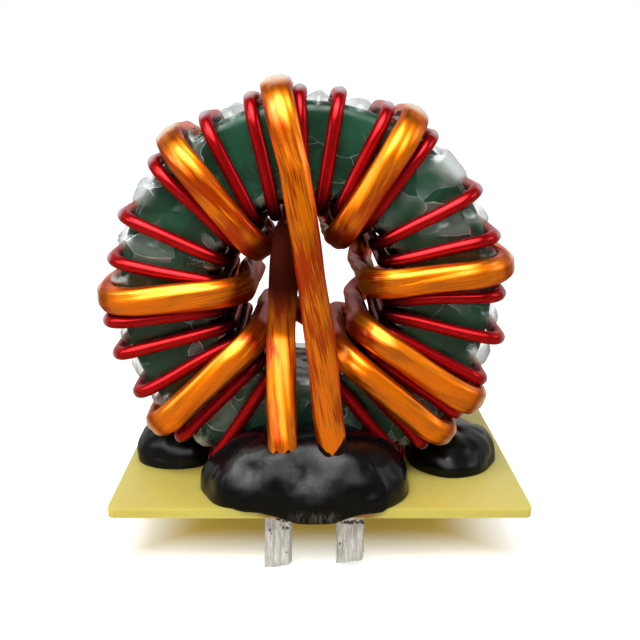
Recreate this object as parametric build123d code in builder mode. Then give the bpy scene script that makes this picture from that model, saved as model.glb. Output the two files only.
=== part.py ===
from build123d import *
import os
from math import cos, radians, sin, sqrt, tan, pi

# High-frequency transformer: a coated ring core stands upright on a small fibreglass
# board. A single layer of red enamelled wire and eight turns of flat litz bundle are
# wound through it, black silicone holds it down, and four tinned ends stand below.
# Millimetres, X to the right, the front towards -Y, Z up, and the origin in the
# middle of the board's underside. Clock angles run clockwise from the top of the
# ring, seen from the front.

# The board, and how far it reaches beyond each face of the core
board_width = 51.0
board_thickness = 1.2
board_corner_radius = 1.0
hole_clearance = 0.15
board_reach = 11.0

# The coated ring core, its axis along Y, and the clear film wrapped round it
core_outer_diameter = 46.7
core_inner_diameter = 23.3
core_height = 18.0
core_bevel = 1.0
film_thickness = 0.25
ring_x = -1.7
seat_gap = 0.55

# The red wire, and how far it stands off the film
red_diameter = 1.6
red_sides = 8
red_bend_radius = 2.0
winding_gap = 0.12
red_bend_steps = 2
red_bore_gap = 0.26

# The litz bundle, flat and wide, laid over the red wire
litz_width = 3.6
litz_thickness = 2.5
litz_corner = 0.75
litz_bend_radius = 2.2
litz_bend_steps = 2
litz_rim_gap = 0.42
litz_bore_gap = 0.55
layer_gap = 0.10

# Each turn's clock angle on the front face: at the rim, then at the bore
red_turns = [
    (208.5, 202.0), (220.5, 213.0), (238.5, 235.5), (251.5, 247.0), (261.5, 258.0),
    (279.5, 276.0), (292.5, 291.0), (310.5, 304.0), (330.0, 325.0), (344.0, 338.0),
    (358.0, 357.0), (369.5, 369.0), (383.5, 381.0), (398.5, 400.0), (419.0, 415.0),
    (433.5, 427.5), (450.5, 454.0), (463.5, 465.0), (476.5, 475.5), (489.2, 494.0),
    (503.0, 510.0), (511.0, 526.0),
]
litz_turns = [
    (318.5, 314.0), (268.5, 274.0), (228.0, 229.0), (135.5, 152.0),
    (123.0, 121.0), (82.5, 80.0), (31.5, 28.0),
]
litz_first_bore_angle = 343.0
litz_last_rim_angle = 351.5
crossing_turn = 3

# The last lead runs down the front, in front of the first one. Its knee is a share of
# the way from the ring's middle to the rim, and both feet stand just above the board
front_lead_gap = 0.2
knee_x = -3.0
knee_share = 0.62
knee_forward = 1.0
foot_rise = 4.8
foot_back = 0.5
front_lead_foot_x = 1.9
first_lead_foot_x = -4.2

# The four ends that go down through the board
pin_length = 7.2
right_pin_short = 0.5
snip_angle = 7.0
tinned_widening = 0.1
tinned_thickness = 1.8
tinned_corner = 0.35
tinned_neck = 2.2
front_pin_inset = 2.0
front_left_pin_x = -5.1
front_right_pin_x = 3.7
lead_rise = 2.4
lead_bend_radius = 5.0
rear_pin_inset = 5.0
rear_right_pin_x = 8.8
rear_lead_angle = 163.0
rear_lead_radius = 20.0
rear_lead_rise = 4.0
tinned_pin_coat = 0.15
tinned_pin_chamfer = 0.25

# Silicone mounds: how high each stands above the board, and its outline seen from above,
# in shares of the board's half width and half depth
front_glue_height = 7.3
front_glue_outline = [
    (-0.58, -0.6), (-0.545, -0.82), (-0.463, -0.97), (-0.278, -1.03), (-0.008, -1.045),
    (0.255, -1.035), (0.376, -0.915), (0.435, -0.74), (0.42, -0.53), (0.247, -0.3),
    (-0.067, -0.23), (-0.392, -0.31),
]
left_glue_height = 6.2
left_glue_outline = [
    (-0.965, -0.13), (-0.925, -0.28), (-0.816, -0.37), (-0.682, -0.37), (-0.584, -0.28),
    (-0.541, -0.05), (-0.569, 0.21), (-0.698, 0.37), (-0.855, 0.345), (-0.949, 0.16),
]
right_glue_height = 6.2
right_glue_outline = [
    (0.471, -0.21), (0.522, -0.41), (0.659, -0.53), (0.812, -0.47), (0.902, -0.31),
    (0.949, -0.13), (0.91, 0.15), (0.784, 0.34), (0.604, 0.32), (0.486, 0.1),
]
rear_glue_height = 5.6
rear_glue_outline = [
    (-0.62, 0.63), (-0.573, 0.83), (-0.384, 0.895), (-0.086, 0.86), (0.212, 0.9),
    (0.431, 0.845), (0.486, 0.62), (0.369, 0.38), (-0.008, 0.27), (-0.416, 0.33),
]

# Each mound's outline shrinks towards its middle as it rises: height and width shares
glue_levels = [(0.0, 1.0), (0.42, 0.97), (0.78, 0.80), (1.0, 0.46)]
glue_sides = 24

# The drip that hangs over the board's front edge between the two front ends
drip_x = -0.7
drip_half_width = 4.4
drip_stand_off = 1.0
drip_bottom = -0.4
drip_taper = 0.6

# Places that follow from the sizes above
board_top = board_thickness
board_depth = core_height + 2 * board_reach
front_pin_y = front_pin_inset - board_depth / 2
rear_pin_y = board_depth / 2 - rear_pin_inset
lead_foot_y = front_pin_y + foot_back
lead_foot_z = board_top + foot_rise
tinned_width = litz_width + tinned_widening
tinned_pin_diameter = red_diameter + 2 * tinned_pin_coat
core_radius = core_outer_diameter / 2
bore_radius = core_inner_diameter / 2
film_radius = core_radius + film_thickness
film_bore_radius = bore_radius - film_thickness
film_face = core_height / 2 + film_thickness
ring_z = board_top + seat_gap + film_radius
ring_plane = Plane(origin=(ring_x, 0, ring_z), x_dir=(1, 0, 0), z_dir=(0, -1, 0))

# An octagon of the round wire's own area, so that the copper keeps its weight
red_corner_radius = red_diameter / 2 * sqrt(2 * pi / red_sides / sin(2 * pi / red_sides))
red_rim = film_radius + winding_gap + red_corner_radius
red_bore = film_bore_radius - red_bore_gap - red_corner_radius
red_face = film_face + winding_gap + red_corner_radius

litz_rim = film_radius + litz_rim_gap + litz_thickness / 2
litz_bore = red_bore - red_corner_radius - litz_bore_gap - litz_thickness / 2
litz_face = red_face + red_corner_radius + layer_gap + litz_thickness / 2
litz_crossing_face = litz_face + litz_thickness + layer_gap
front_lead_face = litz_face + litz_thickness + front_lead_gap


def ring_point(clock_angle, radius, y):
    """A point at a clock angle and a radius from the ring's axis."""
    turn = radians(clock_angle)
    return Vector(ring_x + radius * sin(turn), y, ring_z + radius * cos(turn))


# Coated ring core, one pressed and coated ring with bevelled edges
with BuildPart() as core:
    with BuildSketch(ring_plane):
        Circle(core_radius)
        Circle(bore_radius, mode=Mode.SUBTRACT)
    extrude(amount=core_height / 2, both=True)
    chamfer(core.edges().filter_by(GeomType.CIRCLE), core_bevel)
core.part.label = "core"


# Clear insulating film, wrapped round the whole ring section
with BuildPart() as core_film:
    with BuildSketch(ring_plane):
        Circle(film_radius)
        Circle(film_bore_radius, mode=Mode.SUBTRACT)
    extrude(amount=film_face, both=True)
    chamfer(core_film.edges().filter_by(GeomType.CIRCLE), core_bevel)
    add(core.part, mode=Mode.SUBTRACT)
core_film.part.label = "core_film"


# Both windings are lofted through planes that stand square to the wire
def bend_planes(before, corner, after, bend_radius, bend_steps, wide_hint, across_bend=False):
    """Planes at equal steps round one bend of a route, from its start to its end."""
    along = (corner - before).normalized()
    leaving = (after - corner).normalized()
    bend_axis = along.cross(leaving).normalized()
    bend_angle = along.get_angle(leaving)
    bend_start = corner - along * bend_radius * tan(radians(bend_angle) / 2)
    centre = bend_start + bend_axis.cross(along) * bend_radius
    wide = (wide_hint - along * wide_hint.dot(along)).normalized()
    if across_bend:
        wide = bend_axis if bend_axis.dot(wide_hint) > 0 else -bend_axis
    planes = []
    for step in range(bend_steps + 1):
        swing = bend_angle * step / bend_steps
        hinge = Axis((0, 0, 0), bend_axis)
        planes.append(
            Plane(
                origin=centre + (bend_start - centre).rotate(hinge, swing),
                x_dir=wide.rotate(hinge, swing),
                z_dir=along.rotate(hinge, swing),
            )
        )
    return planes


# Red winding: up from the rear left pin, once round the ring section at each turn,
# and down the rear face to the rear right pin
red_start = ring_point(red_turns[0][0], red_rim, rear_pin_y)
red_route = [Vector(red_start.X, rear_pin_y, 0), red_start]
for turn, (rim_angle, bore_angle) in enumerate(red_turns):
    if turn > 0:
        red_route.append(ring_point(rim_angle, red_rim, red_face))
    red_route.append(ring_point(rim_angle, red_rim, -red_face))
    red_route.append(ring_point(bore_angle, red_bore, -red_face))
    red_route.append(ring_point(bore_angle, red_bore, red_face))
red_route.append(ring_point(rear_lead_angle, rear_lead_radius, red_face))
red_route.append(Vector(rear_right_pin_x, rear_pin_y, rear_lead_rise))
red_route.append(Vector(rear_right_pin_x, rear_pin_y, 0))

red_planes = [Plane(origin=red_route[0], x_dir=(1, 0, 0), z_dir=(0, 0, 1))]
for before, corner, after in zip(red_route, red_route[1:], red_route[2:]):
    red_planes += bend_planes(
        before, corner, after, red_bend_radius, red_bend_steps, red_planes[-1].x_dir
    )
red_planes.append(Plane(origin=red_route[-1], x_dir=red_planes[-1].x_dir, z_dir=(0, 0, -1)))

with BuildPart() as red_winding:
    for plane in red_planes:
        with BuildSketch(plane):
            RegularPolygon(red_corner_radius, red_sides)
    loft(ruled=True)
red_winding.part.label = "red_winding"


# Litz winding: a chain of places, each with the direction that the flat side's width
# takes there, the radius of the bend, and whether the width lies across that bend
def bore_wide(clock_angle):
    """The way round the ring at a clock angle, which the width of each turn follows."""
    return Vector(cos(radians(clock_angle)), 0, -sin(radians(clock_angle)))


across = Vector(1, 0, 0)
litz_route = [
    (Vector(front_left_pin_x, front_pin_y, 0), across, 0, False),
    (Vector(front_left_pin_x, front_pin_y, lead_rise), across, lead_bend_radius, False),
    (Vector(first_lead_foot_x, lead_foot_y, lead_foot_z), across, lead_bend_radius, False),
]


def add_litz_corner(clock_angle, radius, y):
    """One square corner of a turn, at the rim or at the bore."""
    litz_route.append(
        (ring_point(clock_angle, radius, y), bore_wide(clock_angle), litz_bend_radius, True)
    )


add_litz_corner(litz_first_bore_angle, litz_bore, -litz_face)
last_bore_angle = litz_first_bore_angle
for turn, (rim_angle, bore_angle) in enumerate(litz_turns):
    rear_face = litz_crossing_face if turn == crossing_turn else litz_face
    add_litz_corner(last_bore_angle, litz_bore, rear_face)
    add_litz_corner(rim_angle, litz_rim, rear_face)
    add_litz_corner(rim_angle, litz_rim, -litz_face)
    add_litz_corner(bore_angle, litz_bore, -litz_face)
    last_bore_angle = bore_angle
add_litz_corner(last_bore_angle, litz_bore, litz_face)
add_litz_corner(litz_last_rim_angle, litz_rim, litz_face)
add_litz_corner(litz_last_rim_angle, litz_rim, -front_lead_face)
knee_z = ring_z + knee_share * litz_rim
litz_route += [
    (Vector(knee_x, -front_lead_face - knee_forward, knee_z), across, lead_bend_radius, False),
    (Vector(front_lead_foot_x, lead_foot_y, lead_foot_z), across, lead_bend_radius, False),
    (Vector(front_right_pin_x, front_pin_y, lead_rise), across, lead_bend_radius, False),
    (Vector(front_right_pin_x, front_pin_y, 0), across, 0, False),
]

litz_planes = [Plane(origin=litz_route[0][0], x_dir=across, z_dir=(0, 0, 1))]
for (before, *_), (corner, hint, bend_radius, across_bend), (after, *_) in zip(
    litz_route, litz_route[1:], litz_route[2:]
):
    litz_planes += bend_planes(
        before, corner, after, bend_radius, litz_bend_steps, hint, across_bend
    )
litz_planes.append(Plane(origin=litz_route[-1][0], x_dir=across, z_dir=(0, 0, -1)))

with BuildPart() as litz_winding:
    for plane in litz_planes:
        with BuildSketch(plane) as bundle:
            Rectangle(litz_width, litz_thickness)
            chamfer(bundle.vertices(), litz_corner)
    loft(ruled=True)
litz_winding.part.label = "litz_winding"


# Fibreglass board, drilled for the red wire and slotted for the litz
with BuildPart() as board:
    with BuildSketch():
        RectangleRounded(board_width, board_depth, board_corner_radius)
    extrude(amount=board_thickness)
    with BuildSketch():
        with Locations((red_start.X, rear_pin_y), (rear_right_pin_x, rear_pin_y)):
            Circle(red_corner_radius + hole_clearance)
        with Locations((front_left_pin_x, front_pin_y), (front_right_pin_x, front_pin_y)):
            Rectangle(litz_width + 2 * hole_clearance, litz_thickness + 2 * hole_clearance)
    extrude(amount=board_thickness, mode=Mode.SUBTRACT)
board.part.label = "board"


def make_flat_end(label, place_x, length):
    """A litz end soaked in solder: flattened just below the board and snipped aslant."""
    below_board = Plane(origin=(place_x, front_pin_y, 0), x_dir=across, z_dir=(0, 0, -1))
    low_corner = (place_x - tinned_width / 2, front_pin_y, -length)
    snip = radians(snip_angle)
    with BuildPart() as flat_end:
        with BuildSketch(below_board) as neck_top:
            Rectangle(litz_width, litz_thickness)
            chamfer(neck_top.vertices(), litz_corner)
        with BuildSketch(below_board.offset(tinned_neck)) as neck_foot:
            Rectangle(tinned_width, tinned_thickness)
            chamfer(neck_foot.vertices(), tinned_corner)
        loft()
        extrude(flat_end.faces().sort_by(Axis.Z)[0], amount=length - tinned_neck)
        split(
            bisect_by=Plane(origin=low_corner, z_dir=(sin(snip), 0, -cos(snip))),
            keep=Keep.BOTTOM,
        )
    flat_end.part.label = label
    return flat_end


def make_round_end(label, place_x):
    """A red wire's end below the board, dipped in solder, its foot rounded off."""
    below_board = Plane(origin=(place_x, rear_pin_y, 0), z_dir=(0, 0, -1))
    with BuildPart() as round_end:
        with BuildSketch(below_board):
            Circle(tinned_pin_diameter / 2)
        extrude(amount=pin_length)
        chamfer(round_end.edges().sort_by(Axis.Z)[0], tinned_pin_chamfer)
    round_end.part.label = label
    return round_end


tinned_ends = [
    make_flat_end("tinned_end_front_left", front_left_pin_x, pin_length),
    make_flat_end("tinned_end_front_right", front_right_pin_x, pin_length - right_pin_short),
    make_round_end("tinned_end_rear_left", red_start.X),
    make_round_end("tinned_end_rear_right", rear_right_pin_x),
]


# Black silicone: mounds poured on the board round the ring and the four leads
def poured_mound(outline, height):
    """A mound on the board: its outline shrinks towards its middle as it rises."""
    places = [Vector(x * board_width / 2, y * board_depth / 2) for x, y in outline]
    edge = Spline(*places, periodic=True)
    sides = [edge @ (side / glue_sides) for side in range(glue_sides)]
    middle = sum(sides, Vector()) / glue_sides
    with BuildPart() as mound:
        for rise, share in glue_levels:
            with BuildSketch(Plane.XY.offset(board_top + rise * height)):
                with BuildLine():
                    Polyline(*[middle + (place - middle) * share for place in sides], close=True)
                make_face()
        loft(ruled=True)
    return mound.part


def cut_round_what_it_holds(label, body):
    """The silicone takes the shape of everything that it flows round."""
    with BuildPart() as silicone:
        add(body)
        for held in (board, core, core_film, red_winding, litz_winding):
            add(held.part, mode=Mode.SUBTRACT)
    silicone.part.label = label
    return silicone


with BuildPart() as front_body:
    add(poured_mound(front_glue_outline, front_glue_height))
    with BuildSketch(Plane.XY.offset(drip_bottom)):
        with Locations((drip_x, -board_depth / 2)):
            Ellipse(drip_half_width * drip_taper, drip_stand_off * drip_taper)
    with BuildSketch(Plane.XY.offset(board_top)):
        with Locations((drip_x, -board_depth / 2)):
            Ellipse(drip_half_width, drip_stand_off)
    with BuildSketch(Plane.XY.offset(board_top + drip_stand_off)):
        with Locations((drip_x, -board_depth / 2)):
            Ellipse(drip_half_width, drip_stand_off)
    loft(ruled=True)
    # None of it runs under the board
    with BuildSketch():
        RectangleRounded(board_width, board_depth, board_corner_radius)
    extrude(amount=2 * drip_bottom, mode=Mode.SUBTRACT)

adhesives = [
    cut_round_what_it_holds("adhesive_front", front_body.part),
    cut_round_what_it_holds("adhesive_left", poured_mound(left_glue_outline, left_glue_height)),
    cut_round_what_it_holds("adhesive_right", poured_mound(right_glue_outline, right_glue_height)),
    cut_round_what_it_holds("adhesive_rear", poured_mound(rear_glue_outline, rear_glue_height)),
]

os.makedirs("parts", exist_ok=True)
for piece in (core, core_film, red_winding, litz_winding, board, *tinned_ends, *adhesives):
    export_step(piece.part, "parts/" + piece.part.label + ".step")
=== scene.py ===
from math import cos, pi, radians, sin, tan

import bpy
import numpy as np
from mathutils import Matrix, Vector, kdtree, noise


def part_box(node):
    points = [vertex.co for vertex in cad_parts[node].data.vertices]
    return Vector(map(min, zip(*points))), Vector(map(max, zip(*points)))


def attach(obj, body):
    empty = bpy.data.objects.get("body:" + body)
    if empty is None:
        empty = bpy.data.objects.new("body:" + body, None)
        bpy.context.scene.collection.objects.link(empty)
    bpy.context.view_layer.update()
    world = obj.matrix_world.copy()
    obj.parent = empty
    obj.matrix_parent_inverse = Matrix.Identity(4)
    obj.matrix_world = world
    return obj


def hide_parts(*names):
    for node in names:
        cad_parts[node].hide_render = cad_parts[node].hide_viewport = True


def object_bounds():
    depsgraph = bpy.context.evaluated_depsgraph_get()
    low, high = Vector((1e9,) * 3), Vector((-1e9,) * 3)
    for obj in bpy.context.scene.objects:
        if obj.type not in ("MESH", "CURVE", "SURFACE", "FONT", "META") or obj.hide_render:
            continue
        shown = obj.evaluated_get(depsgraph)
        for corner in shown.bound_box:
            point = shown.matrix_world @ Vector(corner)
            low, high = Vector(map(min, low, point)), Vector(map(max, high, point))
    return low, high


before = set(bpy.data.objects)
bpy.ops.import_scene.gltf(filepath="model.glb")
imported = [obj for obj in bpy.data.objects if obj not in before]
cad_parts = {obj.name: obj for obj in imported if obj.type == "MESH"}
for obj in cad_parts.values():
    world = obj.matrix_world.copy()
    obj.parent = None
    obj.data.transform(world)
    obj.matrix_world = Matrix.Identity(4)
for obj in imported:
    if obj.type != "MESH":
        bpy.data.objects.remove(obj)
cad_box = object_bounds()
mm = 0.001


# The table and the lights
# A white table under a white tent: bright above, behind and at the sides, darker on
# the camera's side. The transformer stands on the tips of its tinned ends, and the table
# under its board has a painted yellow shade, in its colour and its glow.
class Value:
    """A number, colour or vector inside a material; arithmetic on it adds Math nodes."""

    def __init__(self, finish, socket):
        self.finish = finish
        self.socket = socket

    def maths(self, operation, *terms):
        """One Math node on these terms."""
        return self.finish.node(
            "ShaderNodeMath", {"operation": operation}, dict(enumerate(terms))
        )

    def __add__(self, other):
        return self.maths("ADD", self, other)

    def __sub__(self, other):
        return self.maths("SUBTRACT", self, other)

    def __rsub__(self, other):
        return self.maths("SUBTRACT", other, self)

    def __mul__(self, other):
        return self.maths("MULTIPLY", self, other)

    __radd__ = __add__
    __rmul__ = __mul__

    def __abs__(self):
        return self.maths("ABSOLUTE", self)

    def at_least(self, other):
        return self.maths("MAXIMUM", self, other)

    def at_most(self, other):
        return self.maths("MINIMUM", self, other)


class Finish:
    """A material or the world being mixed, one node at a time."""

    def __init__(self, owner):
        owner.use_nodes = True
        self.owner = owner
        self.tree = owner.node_tree
        self.tree.nodes.clear()

    def node(self, kind, settings=None, inputs=None, output=0):
        """Adds one node: its settings first, then the value or link of each socket."""
        made = self.tree.nodes.new(kind)
        for name, setting in (settings or {}).items():
            if name == "stops":
                for stop, (place, colour) in enumerate(setting):
                    if stop > 1:
                        made.color_ramp.elements.new(place)
                    made.color_ramp.elements[stop].position = place
                    made.color_ramp.elements[stop].color = (*colour, 1)
            else:
                setattr(made, name, setting)
        for name, value in (inputs or {}).items():
            if isinstance(value, Value):
                self.tree.links.new(value.socket, made.inputs[name])
            else:
                made.inputs[name].default_value = value
        return Value(self, made.outputs[output]) if made.outputs else None

    def place(self):
        """The place on the piece, in metres, in the object's own frame."""
        return self.node("ShaderNodeTexCoord", output="Object")

    def ray(self, kind):
        """1 for a ray of this kind, and 0 for any other."""
        return self.node("ShaderNodeLightPath", output=f"Is {kind} Ray")

    def split(self, vector):
        """The X, Y and Z of a vector."""
        parts = self.node("ShaderNodeSeparateXYZ", inputs={0: vector})
        return [Value(self, socket) for socket in parts.socket.node.outputs]

    def between(self, value, low, high):
        """Rises smoothly from 0 where the value is low to 1 where it is high."""
        return self.node(
            "ShaderNodeMapRange",
            {"interpolation_type": "SMOOTHSTEP"},
            {"Value": value, "From Min": low, "From Max": high},
        )

    def mix(self, share, first, second):
        """The first colour, turning into the second as the share goes from 0 to 1."""
        return self.node(
            "ShaderNodeMix",
            {"data_type": "RGBA"},
            {0: share, 6: paint(first), 7: paint(second)},
            output=2,
        )

    def grain(self, place, scale, detail=3.0, roughness=0.55, distortion=0.0):
        """Cloudy noise at so many blotches a metre."""
        return self.node(
            "ShaderNodeTexNoise",
            inputs={
                "Vector": place, "Scale": scale, "Detail": detail,
                "Roughness": roughness, "Distortion": distortion,
            },
        )

    def stretched(self, place, stretch):
        """The same place, with each axis stretched by its own factor."""
        return self.node(
            "ShaderNodeVectorMath", {"operation": "MULTIPLY"}, {0: place, 1: stretch}
        )

    def distance(self, place, point):
        """How far the place is from a point."""
        return self.node(
            "ShaderNodeVectorMath", {"operation": "DISTANCE"},
            {0: place, 1: tuple(point)}, output="Value",
        )

    def cells(self, place, scale, feature="F1", output="Distance"):
        """Crumpled cells, so many a metre: by default the distance to a cell's middle."""
        inputs = {"Vector": place, "Scale": scale}
        return self.node("ShaderNodeTexVoronoi", {"feature": feature}, inputs, output)

    def marked(self, name):
        """The number that the mesh keeps at each point under this name."""
        return self.node("ShaderNodeAttribute", {"attribute_name": name}, output="Fac")

    def warped(self, place, scale, reach):
        """The same place, pushed about by soft noise that reaches so many metres."""
        push = self.node("ShaderNodeTexNoise", inputs={"Vector": place, "Scale": scale}, output=1)
        return self.node(
            "ShaderNodeVectorMath", {"operation": "MULTIPLY_ADD"},
            {0: push, 1: (reach, reach, reach), 2: place},
        )

    def relief(self, height, depth, strength=1.0):
        """A bumpy normal, as deep in metres as the height's step from 0 to 1."""
        return self.node(
            "ShaderNodeBump", inputs={"Height": height, "Distance": depth, "Strength": strength}
        )

    def skin(self, **sockets):
        """Ends the material in one shaded skin; a name's underscores are its spaces."""
        named = {name.replace("_", " "): value for name, value in sockets.items()}
        shader = self.node("ShaderNodeBsdfPrincipled", inputs=named)
        self.node("ShaderNodeOutputMaterial", inputs={"Surface": shader})
        return self.owner


def paint(colour):
    """A colour's three numbers with its alpha; a value from a node stays as it is."""
    return (*colour, 1.0) if isinstance(colour, tuple) else colour


def new_finish(name):
    """A new material, ready to be mixed."""
    return Finish(bpy.data.materials.new(name))


# The camera, fitted to the outlines of the board and the ring
camera_place = Vector((-1.52, -125.3, 49.1)) * mm
camera_down, camera_right, camera_roll = radians(13.21), radians(0.75), radians(0.29)
focal_pixels, image_pixels, sensor_mm = 950, 640, 36
camera_data = bpy.data.cameras.new("camera")
camera_data.sensor_width = sensor_mm
camera_data.lens = focal_pixels / image_pixels * sensor_mm
camera_data.clip_start = 5 * mm
camera = bpy.data.objects.new("camera", camera_data)
camera.location = camera_place
camera_turn = Matrix.Rotation(-camera_right, 3, "Z") @ Matrix.Rotation(pi / 2 - camera_down, 3, "X")
camera.rotation_euler = (camera_turn @ Matrix.Rotation(camera_roll, 3, "Z")).to_euler()
bpy.context.scene.collection.objects.link(camera)
bpy.context.scene.camera = camera
bpy.context.scene.view_settings.view_transform = "Standard"

# The table, whose painted yellow shade ends between two distances from the middle each way
table_half, table_roughness, table_glow = 3.0, 0.9, 0.72
table_colour, table_in_mirrors = (0.86, 0.86, 0.85), (0.56, 0.47, 0.30)
shade_colour, shade_glow = (0.75, 0.54, 0.08), (0.22, 0.165, 0.04)
shade_ends_x, shade_ends_y = (15 * mm, 28 * mm), (7 * mm, 18 * mm)
table_finish = new_finish("table_white")
table_seen = table_finish.ray("Camera").at_least(table_finish.ray("Transmission"))
table_x, table_y, _ = table_finish.split(table_finish.place())
table_open = table_finish.between(abs(table_x), *shade_ends_x).at_least(
    table_finish.between(abs(table_y), *shade_ends_y)
)
# Painted shade: under the board the table's colour turns yellow-brown and its glow drops
table_lit = table_finish.mix(table_open, shade_colour, table_colour)
# Shiny skins see the table in a dim yellow colour, a painted reflection, not its white
table_white = table_finish.skin(
    Base_Color=table_finish.mix(table_finish.ray("Glossy"), table_lit, table_in_mirrors),
    Roughness=table_roughness,
    Specular_IOR_Level=0.1,
    Emission_Color=table_finish.mix(table_open, shade_glow, (1.0, 1.0, 1.0)),
    Emission_Strength=table_seen * table_glow,
)
table_z = cad_box[0].z
table_mesh = bpy.data.meshes.new("table")
table_mesh.from_pydata(
    [(x * table_half, y * table_half, table_z) for x, y in ((-1, -1), (1, -1), (1, 1), (-1, 1))],
    [], [(0, 1, 2, 3)],
)
table_mesh.materials.append(table_white)
table = bpy.data.objects.new("table", table_mesh)
bpy.context.scene.collection.objects.link(table)

tent_light, tent_dimmest = 0.42, 0.07
tent_shine, mirror_dimmest, mirror_sides = 0.9, 0.05, 0.55
softbox_way, softbox_shine = Vector((-0.18, -0.66, 0.73)), 7.0
world = bpy.data.worlds.new("tent")
bpy.context.scene.world = world
tent = Finish(world)
towards_x, towards_y, towards_z = tent.split(
    tent.node("ShaderNodeTexCoord", output="Generated")
)
# What lights the object, then what shows in its shiny skins
tent_wall = tent.between(towards_y, -0.75, 0.15).at_least(tent.between(towards_z, 0.25, 0.75))
tent_wall = tent_wall * (1 - tent_dimmest) + tent_dimmest
tent_back = tent.between(towards_y, -0.05, 0.45) * (1 - tent.between(towards_z, 0.72, 0.95))
tent_sides = tent.between(abs(towards_x), 0.45, 0.9) * mirror_sides
tent_mirror = tent_back.at_least(tent_sides) * (1 - mirror_dimmest) + mirror_dimmest
softbox = towards_x * softbox_way.x + towards_y * softbox_way.y + towards_z * softbox_way.z
softbox = tent.between(softbox, 0.72, 0.92) * tent.between(towards_z, 0.15, 0.45)
tent_mirror = tent_mirror * tent_shine + softbox * softbox_shine
tent_glossy = tent.ray("Glossy")
tent_strength = tent_wall * tent_light * (1 - tent_glossy) + tent_mirror * tent_glossy
tent_seen = tent.ray("Camera").at_least(tent.ray("Transmission"))
tent_strength = tent_strength * (1 - tent_seen) + tent_seen
tent_shader = tent.node("ShaderNodeBackground", inputs={0: (1, 1, 1, 1), 1: tent_strength})
tent.node("ShaderNodeOutputWorld", inputs={"Surface": tent_shader})

# Each lamp's place, width and height in mm, and its power in watts
lamps_aim = Vector((0, 0, 22)) * mm
lamps = [
    ("top_lamp", (-45, -150, 240), 200, 110, 0.60),
    ("left_lamp", (-260, -100, 130), 110, 110, 0.16),
    ("right_lamp", (280, -60, 140), 110, 110, 0.12),
]
for name, place, width, height, power in lamps:
    lamp_data = bpy.data.lights.new(name, "AREA")
    lamp_data.shape = "RECTANGLE"
    lamp_data.size = width * mm
    lamp_data.size_y = height * mm
    lamp_data.energy = power
    lamp = bpy.data.objects.new(name, lamp_data)
    lamp.location = Vector(place) * mm
    lamp.rotation_euler = (lamps_aim - lamp.location).to_track_quat("-Z", "Y").to_euler()
    bpy.context.scene.collection.objects.link(lamp)


# Core
# A pressed ferrite ring, 46.7 mm across and 18 mm high, standing on edge. Its green
# epoxy coating is sprayed on, so its edges are rounded and its skin is a little uneven.
core_low, core_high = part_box("core")
ring_x = (core_low.x + core_high.x) / 2
ring_z = (core_low.z + core_high.z) / 2
core_radius = (core_high.x - core_low.x) / 2
core_half_height = (core_high.y - core_low.y) / 2
core_bore_radius = 23.3 * mm / 2
core_edge = 1.3 * mm
core_steps, core_run_steps, core_edge_steps = 160, 6, 5
core_dark, core_light = (0.001, 0.034, 0.015), (0.004, 0.086, 0.038)
core_unevenness = 0.25 * mm


def ring_profile(inner, outer, half_height, edge, run_steps, edge_steps):
    """The ring's section, once round: radius, place along the axis, and the way out."""
    corners = [
        (outer - edge, half_height - edge, 90), (outer - edge, edge - half_height, 0),
        (inner + edge, edge - half_height, -90), (inner + edge, half_height - edge, -180),
    ]
    profile = []
    for corner, (radius, place, start) in enumerate(corners):
        for step in range(edge_steps + 1):
            angle = radians(start - 90 * step / edge_steps)
            profile.append((radius + edge * cos(angle), place + edge * sin(angle), angle))
        next_radius, next_place, _ = corners[(corner + 1) % 4]
        last_radius, last_place, last_angle = profile[-1]
        end_radius = next_radius + edge * cos(last_angle)
        end_place = next_place + edge * sin(last_angle)
        for step in range(1, run_steps):
            share = step / run_steps
            profile.append((
                last_radius + (end_radius - last_radius) * share,
                last_place + (end_place - last_place) * share,
                last_angle,
            ))
    return np.array(profile)


def ring_grid(profile, steps):
    """Points of the profile carried round the ring, and the way out of the skin there."""
    turn = np.linspace(0, 2 * pi, steps, endpoint=False)[:, None]
    radius, place, out = profile.T
    points = np.stack([
        ring_x + radius * np.sin(turn),
        np.broadcast_to(-place, (steps, len(profile))),
        ring_z + radius * np.cos(turn),
    ], axis=2)
    ways = np.stack([
        np.cos(out) * np.sin(turn),
        np.broadcast_to(-np.sin(out), (steps, len(profile))),
        np.cos(out) * np.cos(turn),
    ], axis=2)
    return points, ways


def add_piece(name, points, faces, material, slot, *nodes):
    """A smooth mesh piece that rides on the object, and the CAD nodes that it shows."""
    mesh = bpy.data.meshes.new(name)
    mesh.from_pydata([tuple(p) for p in points], [], faces)
    mesh.shade_smooth()
    mesh.materials.append(material)
    piece = bpy.data.objects.new(name, mesh)
    bpy.context.scene.collection.objects.link(piece)
    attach(piece, "root")
    if nodes:
        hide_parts(*nodes)
    return piece


def closed_grid_faces(rows, columns, wrap_rows):
    """Four-sided faces of a grid whose columns close on themselves."""
    return [
        (r * columns + c, r * columns + (c + 1) % columns,
         (r + 1) % rows * columns + (c + 1) % columns, (r + 1) % rows * columns + c)
        for r in range(rows if wrap_rows else rows - 1) for c in range(columns)
    ]


core_profile = ring_profile(
    core_bore_radius, core_radius, core_half_height, core_edge, core_run_steps, core_edge_steps
)
core_points, _ = ring_grid(core_profile, core_steps)
green = new_finish("core_green")
green_place = green.place()
green_cloud = green.between(green.grain(green_place, 150, 3), 0.35, 0.65)
green_crumple = green.cells(green.warped(green_place, 200, 2.5 * mm), 260)
core_green = green.skin(
    Base_Color=green.mix(green_cloud, core_dark, core_light),
    Roughness=0.22 + 0.15 * green_cloud,
    Normal=green.relief(green_crumple, core_unevenness, 0.5),
    Specular_IOR_Level=0.3,
)
add_piece(
    "core_ring", core_points.reshape(-1, 3),
    closed_grid_faces(core_steps, len(core_profile), True), core_green, "core_coating", "core",
)


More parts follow.
